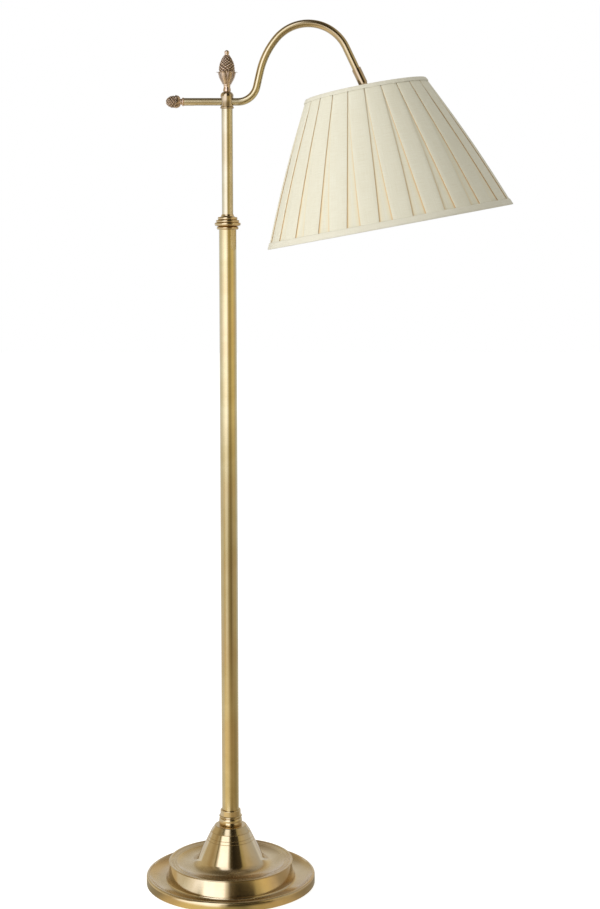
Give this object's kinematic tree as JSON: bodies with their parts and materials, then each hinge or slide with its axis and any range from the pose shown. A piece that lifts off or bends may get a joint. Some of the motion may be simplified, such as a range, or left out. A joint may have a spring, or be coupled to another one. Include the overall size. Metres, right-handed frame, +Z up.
{
  "type": "adjustable floor lamp",
  "caption": "Floor lamp with a weighted round base, telescoping column, swan-neck arm that slides and rolls, and a tilting box-pleated cone shade.",
  "frame": {"origin": "centre of the base's underside, on the floor", "axes": "+Z up along the column, +X towards the shade, +Y away from the viewer of the picture"},
  "size_m": [0.5938, 0.3966, 1.407],
  "materials": {
    "felt": "matte",
    "cast_weight": "matte",
    "plated_steel": "satin",
    "antique_brass": "gloss",
    "finial_bronze": "satin",
    "grommet_rubber": "matte",
    "bush_nylon": "satin",
    "insulator": "gloss",
    "frame_wire": "satin",
    "pleated_cloth": "matte",
    "lining_cloth": "satin",
    "binding_cloth": "matte",
    "bulb_glass": "gloss"
  },
  "bodies": {
    "base": {"base_felt": "felt", "base_weight": "cast_weight", "base_washer": "plated_steel", "base_nut": "plated_steel", "base_nipple": "plated_steel", "base_cover": "antique_brass", "cord_grommet": "grommet_rubber", "base_collar": "antique_brass", "column_plug": "antique_brass", "lower_tube": "antique_brass", "collar_ferrule": "antique_brass"},
    "clamp_cap": {"collar_cap": "antique_brass"},
    "grip": {"grip_bush": "bush_nylon"},
    "mast": {"upper_tube": "antique_brass", "guide_bush": "bush_nylon", "head_block": "antique_brass"},
    "finial": {"clamp_finial": "finial_bronze"},
    "roll_bush": {"arm_bush": "bush_nylon"},
    "arm": {"arm_tube": "antique_brass", "arm_end_finial": "finial_bronze", "arm_sleeve": "antique_brass", "knuckle_screw": "antique_brass", "knuckle_nut": "antique_brass"},
    "shade": {"knuckle_tang": "antique_brass", "holder_cap": "antique_brass", "holder_insert": "insulator", "holder_contact": "antique_brass", "holder_skirt": "antique_brass", "shade_ring_upper": "antique_brass", "shade_ring_lower": "antique_brass", "shade_spider": "antique_brass", "shade_frame": "frame_wire", "shade_lining": "lining_cloth", "shade_cover": "pleated_cloth", "shade_top_trim": "binding_cloth", "shade_bottom_trim": "binding_cloth", "bulb_cap": "plated_steel", "bulb_glass": "bulb_glass"}
  },
  "joints": [
    {"name": "collar_turn", "type": "hinge", "parent": "base", "child": "clamp_cap", "pos_m": [0, 0, 1.1], "axis": [0, 0, 1], "range_deg": [0, 60]},
    {"name": "column_swivel", "type": "hinge", "parent": "base", "child": "grip", "pos_m": [0, 0, 1.1], "axis": [0, 0, 1], "range_deg": [-175, 175]},
    {"name": "height_slide", "type": "slide", "parent": "grip", "child": "mast", "axis": [0, 0, 1], "range_m": [-0.16, 0.25]},
    {"name": "clamp_turn", "type": "hinge", "parent": "mast", "child": "finial", "pos_m": [0, 0, 1.3], "axis": [0, 0, 1], "range_deg": [0, 180]},
    {"name": "arm_roll", "type": "hinge", "parent": "mast", "child": "roll_bush", "pos_m": [0, 0, 1.2796], "axis": [1, 0, 0], "range_deg": [-90, 90]},
    {"name": "arm_slide", "type": "slide", "parent": "roll_bush", "child": "arm", "axis": [1, 0, 0], "range_m": [-0.006, 0.048]},
    {"name": "shade_tilt", "type": "hinge", "parent": "arm", "child": "shade", "pos_m": [0.21843, 0, 1.30146], "axis": [0, 1, 0], "range_deg": [-35, 8]}
  ]
}
